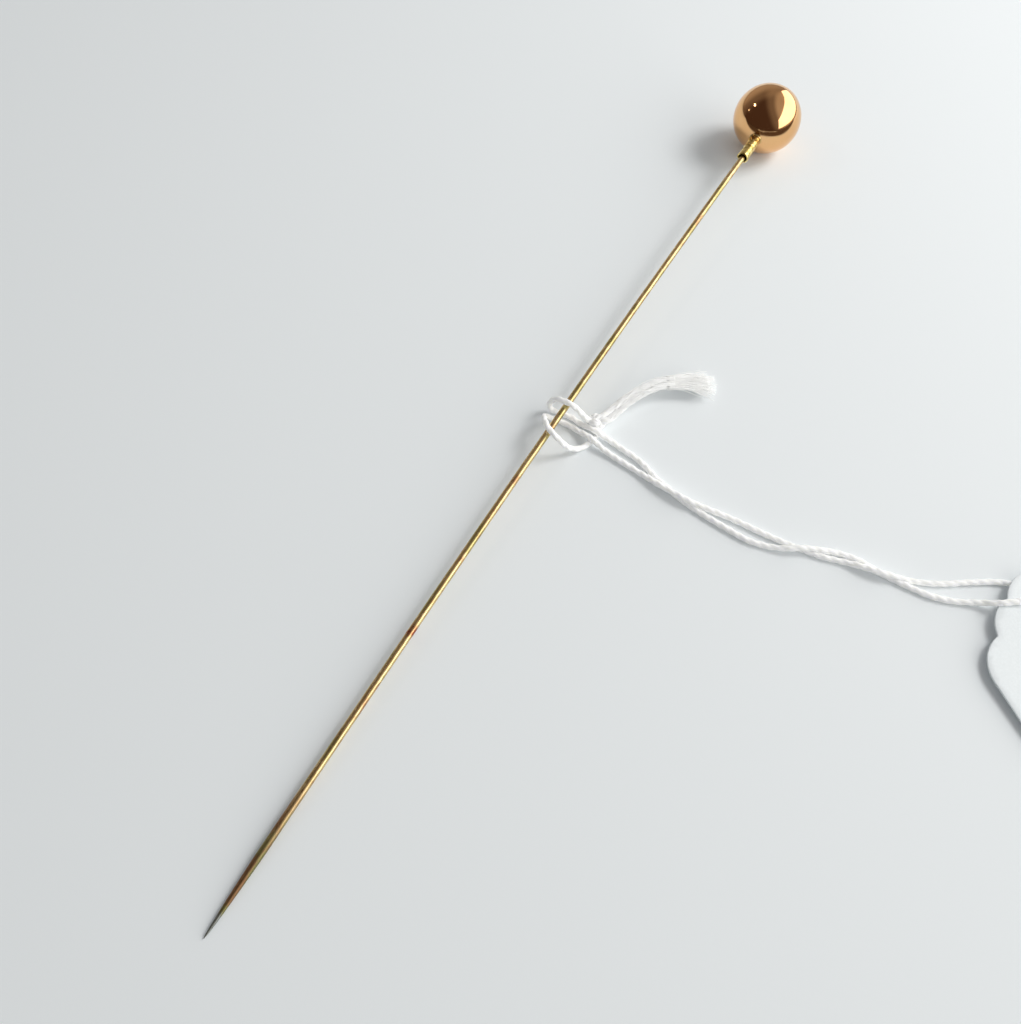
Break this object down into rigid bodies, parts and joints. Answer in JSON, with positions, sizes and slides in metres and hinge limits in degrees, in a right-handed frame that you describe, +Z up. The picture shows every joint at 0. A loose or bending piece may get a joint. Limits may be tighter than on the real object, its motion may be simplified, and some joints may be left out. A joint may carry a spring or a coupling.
{
  "type": "hat pin",
  "caption": "Long gilt hat pin with a hollow polished ball head on a collar, and a scalloped string ticket tied loosely round its stem.",
  "frame": {"origin": "on the table the pin lies on, under the middle of the pin's length, measured without the string ticket", "axes": "+X from the pin's point to its ball head, +Z up from the table; the ticket lies on the -Y side"},
  "size_m": [0.1762, 0.1147, 0.0127],
  "materials": {
    "rose_gold": "mirror polished rolled rose gold",
    "yellow_gold": "bright, slightly hammered yellow gold",
    "gilt_steel": "worn gilding on drawn steel wire, bare at the point",
    "solder": "dull hard solder",
    "cotton_thread": "soft twisted cotton",
    "card_stock": "smooth white card"
  },
  "bodies": {
    "pin": {"stem": "gilt_steel", "collar": "yellow_gold", "head_shell_lower": "rose_gold", "head_shell_upper": "rose_gold", "head_solder": "solder", "seam_solder": "solder", "stem_solder": "solder"},
    "ticket": {"ticket_string": "cotton_thread", "ticket_knot": "cotton_thread", "ticket_tail_long": "cotton_thread", "ticket_tail_short": "cotton_thread", "ticket_card": "card_stock"},
    "hitch": {"hitch_turn_upper": "cotton_thread", "hitch_turn_lower": "cotton_thread"}
  },
  "joints": [
    {"name": "ticket_slide", "type": "slide", "parent": "pin", "child": "ticket", "axis": [1, 0, 0], "range_m": [-0.05, 0.058]},
    {"name": "hitch_rise", "type": "slide", "parent": "ticket", "child": "hitch", "axis": [0, 0, 1], "range_m": [-0.0019, 0.0022], "deforming": ["ticket_string"]}
  ],
  "couplings": [
    {"joint": "hitch_rise", "follows": "ticket_slide", "ratio": 0.036259}
  ]
}
